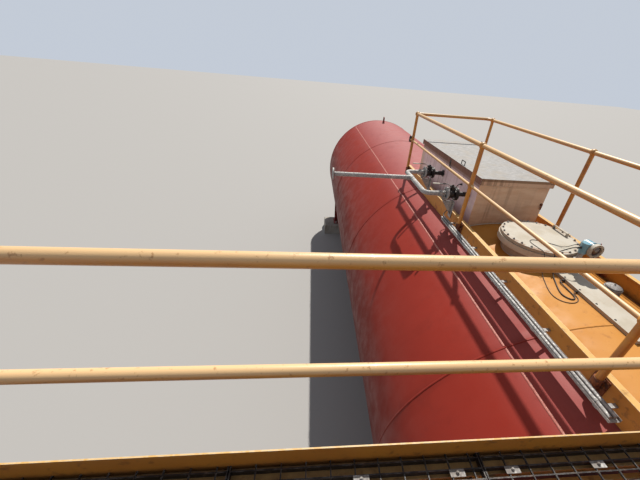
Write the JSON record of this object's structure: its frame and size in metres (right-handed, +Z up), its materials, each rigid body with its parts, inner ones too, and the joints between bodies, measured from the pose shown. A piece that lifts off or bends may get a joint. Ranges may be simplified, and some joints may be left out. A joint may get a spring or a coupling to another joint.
{
  "type": "horizontal pressure tank with crown walkway",
  "caption": "Horizontal cylindrical steel tank on saddles and plinths, with a railed walkway, valve box, manway and access landing on its crown.",
  "frame": {"origin": "on the level ground under the middle of the shell", "axes": "+Z up, +Y along the tank towards its far end, +X across the tank away from the landing"},
  "size_m": [5.7812, 15.0564, 5.2462],
  "materials": {
    "shell_paint": "satin",
    "yellow_paint": "satin",
    "cream_paint": "satin",
    "beige_paint": "satin",
    "galvanised": "matte",
    "dark_iron": "satin",
    "rusty_steel": "matte",
    "gauge_paint": "gloss",
    "concrete": "matte",
    "cable_sheath": "satin"
  },
  "bodies": {
    "tank": {"plinth_near": "concrete", "plinth_far": "concrete", "saddle_near": "shell_paint", "saddle_far": "shell_paint", "course_1": "shell_paint", "course_2": "shell_paint", "course_3": "shell_paint", "course_4": "shell_paint", "head_near": "shell_paint", "head_far": "shell_paint", "lifting_lugs": "shell_paint", "kerb_inner": "yellow_paint", "kerb_outer": "yellow_paint", "feet_inner": "rusty_steel", "feet_outer": "rusty_steel", "posts_inner": "yellow_paint", "posts_outer": "yellow_paint", "top_rail_inner": "yellow_paint", "top_rail_outer": "yellow_paint", "mid_rail_inner": "yellow_paint", "mid_rail_outer": "yellow_paint", "box_near_wall": "beige_paint", "box_far_wall": "beige_paint", "box_inner_wall": "beige_paint", "box_outer_wall": "beige_paint", "hinge_knuckles": "rusty_steel", "manway_neck": "beige_paint", "manway_cover": "cream_paint", "manway_handle": "cream_paint", "gauge_neck": "galvanised", "gauge_head": "gauge_paint", "gauge_window": "cream_paint", "gauge_cover": "cream_paint", "vent_cap": "galvanised", "box_nozzles": "dark_iron", "valve_near": "dark_iron", "valve_far": "dark_iron", "valve_levers": "dark_iron", "pipe_supports": "galvanised", "header_pipe": "galvanised", "cable_tray": "galvanised", "conduits": "galvanised", "cable_glands": "cable_sheath", "gauge_cable": "cable_sheath", "gauge_lead": "cable_sheath", "valve_cable": "cable_sheath", "landing_bearers": "yellow_paint", "landing_legs": "yellow_paint", "landing_stools": "shell_paint", "grating_1": "dark_iron", "grating_2": "dark_iron", "grating_3": "dark_iron", "toe_boards": "yellow_paint", "landing_rails_front": "yellow_paint", "landing_rails_back": "yellow_paint"},
    "lid": {"box_lid": "galvanised", "lid_handle": "dark_iron", "lid_hinges": "rusty_steel"}
  },
  "joints": [
    {"name": "lid_hinge", "type": "hinge", "parent": "tank", "child": "lid", "pos_m": [0.492, -0.486, 4.5473], "axis": [0, 1, 0], "range_deg": [0, 92]}
  ]
}
